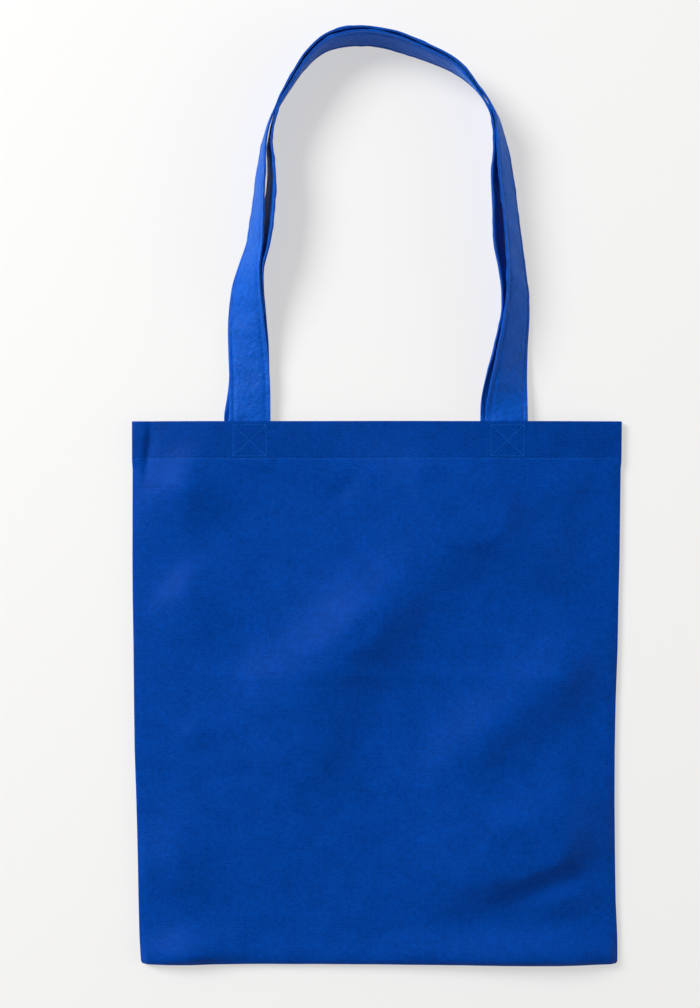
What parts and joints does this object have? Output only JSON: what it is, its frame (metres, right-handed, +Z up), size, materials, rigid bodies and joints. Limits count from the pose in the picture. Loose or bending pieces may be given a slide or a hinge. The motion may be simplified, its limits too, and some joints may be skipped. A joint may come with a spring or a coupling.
{
  "type": "polypropylene shopping bag",
  "caption": "Flat tote bag of royal-blue non-woven polypropylene with long looped strap handles, lying on its back panel.",
  "frame": {"origin": "middle of the back panel's flat face, on the table", "axes": "+Z up from the table through the back panel to the front panel, +Y from the folded bottom to the mouth and the handles, +X across the bag, to the right as seen from above"},
  "size_m": [0.3804, 0.7185, 0.0329],
  "materials": {
    "bag_cloth": "matt non-woven polypropylene, embossed with fine points",
    "strap_cloth": "matt non-woven polypropylene, folded into a strap"
  },
  "bodies": {
    "root": {"body": "bag_cloth", "front_handle": "strap_cloth", "back_handle": "strap_cloth"}
  },
  "joints": []
}
